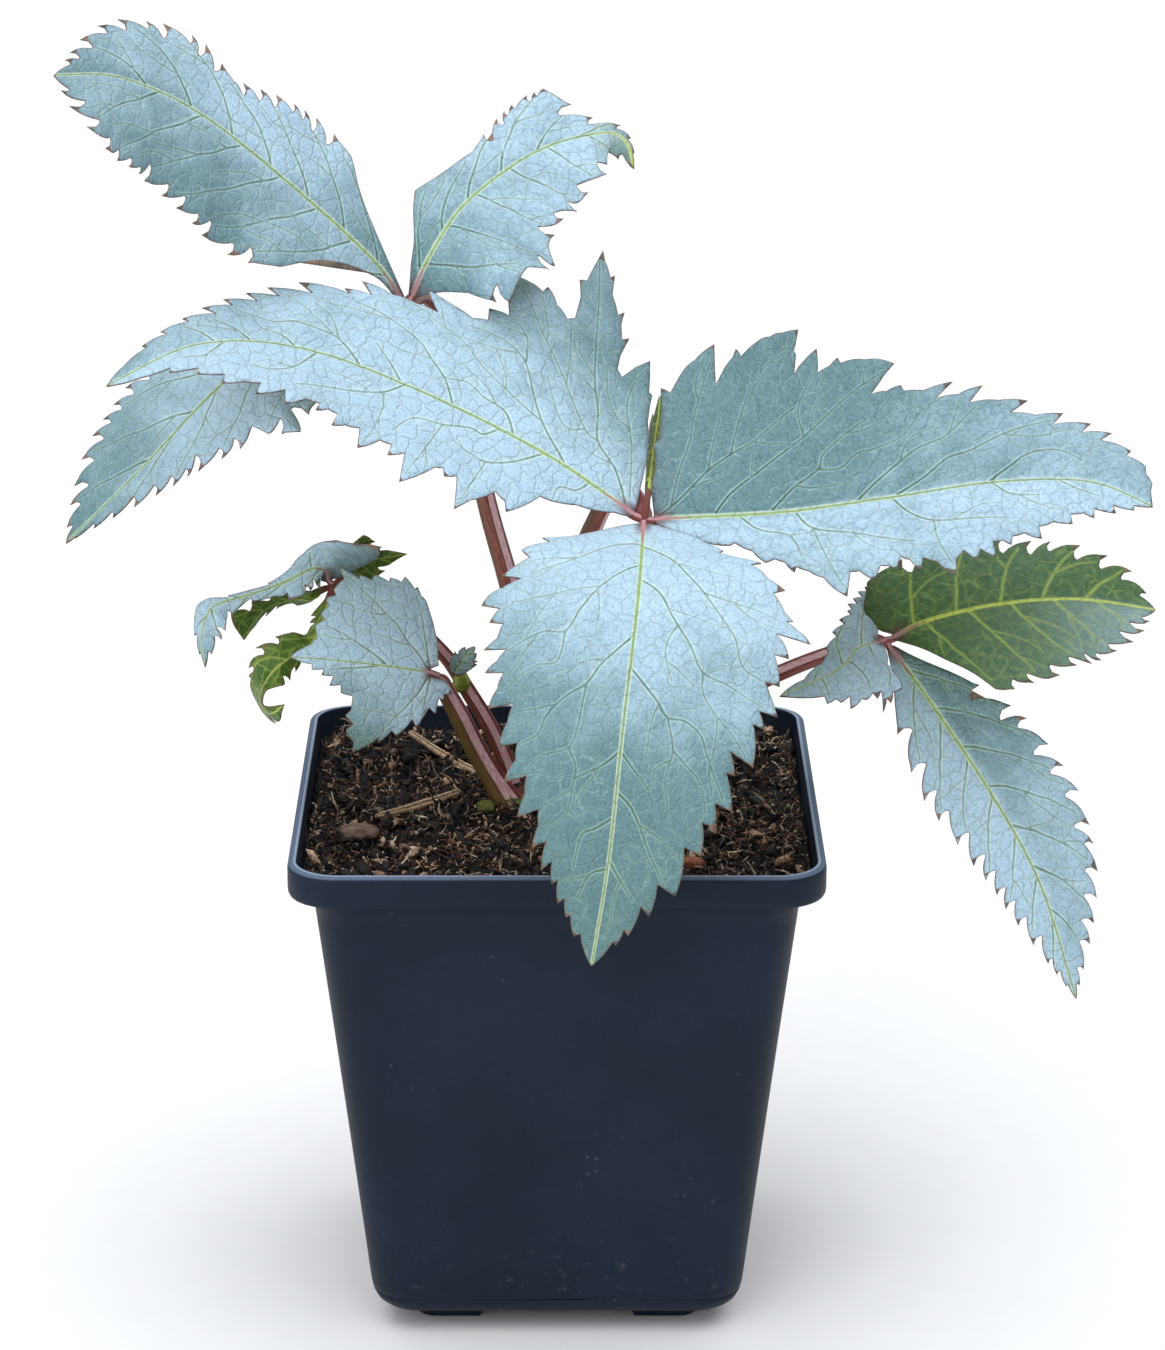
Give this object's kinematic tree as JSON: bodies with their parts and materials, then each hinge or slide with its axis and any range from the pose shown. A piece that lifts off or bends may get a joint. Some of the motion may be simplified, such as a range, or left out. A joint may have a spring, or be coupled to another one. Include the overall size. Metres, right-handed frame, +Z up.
{
  "type": "potted hellebore",
  "caption": "Young hellebore with palmate, saw-edged blue-green leaves on red stalks, growing in a square plastic nursery pot filled with dark potting soil.",
  "frame": {"origin": "centre of the pot's underside, on the surface that it stands on", "axes": "+Z up; -Y is the front, where the large drooping leaflet hangs over the rim; +X to the right seen from the front"},
  "size_m": [0.2703, 0.1619, 0.3255],
  "materials": {
    "pot": "moulded dark slate blue plastic, faintly grained, lighter on the rim's edge",
    "soil": "moist dark brown potting soil with lighter fibres",
    "leaf_blade": "powdery blue bloom over green, pale green veins, thin reddish edge, green underside",
    "leaf_stalk": "satin red-brown skin with a shallow groove",
    "crown": "brown and green, fibrous",
    "sheath": "yellow-green, satin",
    "dry_stalk": "dry, straw brown",
    "bark": "rough red-brown bark"
  },
  "bodies": {
    "root": {"bark_chip_front": "bark", "bark_chip_left": "bark", "base_sheath": "sheath", "crown": "crown", "dry_stalk_long": "dry_stalk", "dry_stalk_short": "dry_stalk", "low_leaf_petiole": "leaf_stalk", "low_leaflet_broad": "leaf_blade", "main_leaf_petiole": "leaf_stalk", "main_leaflet_back": "leaf_blade", "main_leaflet_front": "leaf_blade", "main_leaflet_left": "leaf_blade", "main_leaflet_right": "leaf_blade", "pot": "pot", "right_leaf_petiole": "leaf_stalk", "right_leaflet_folded": "leaf_blade", "right_leaflet_lower": "leaf_blade", "right_leaflet_outer": "leaf_blade", "small_leaf_petiole": "leaf_stalk", "small_leaflet_arched": "leaf_blade", "small_leaflet_curled": "leaf_blade", "small_leaflet_under": "leaf_blade", "small_leaflet_upper": "leaf_blade", "soil": "soil", "top_leaf_petiole": "leaf_stalk", "top_leaflet_drooping": "leaf_blade", "top_leaflet_left": "leaf_blade", "top_leaflet_right": "leaf_blade", "young_leaf_blade": "leaf_blade", "young_leaf_sheath": "sheath"}
  },
  "joints": []
}
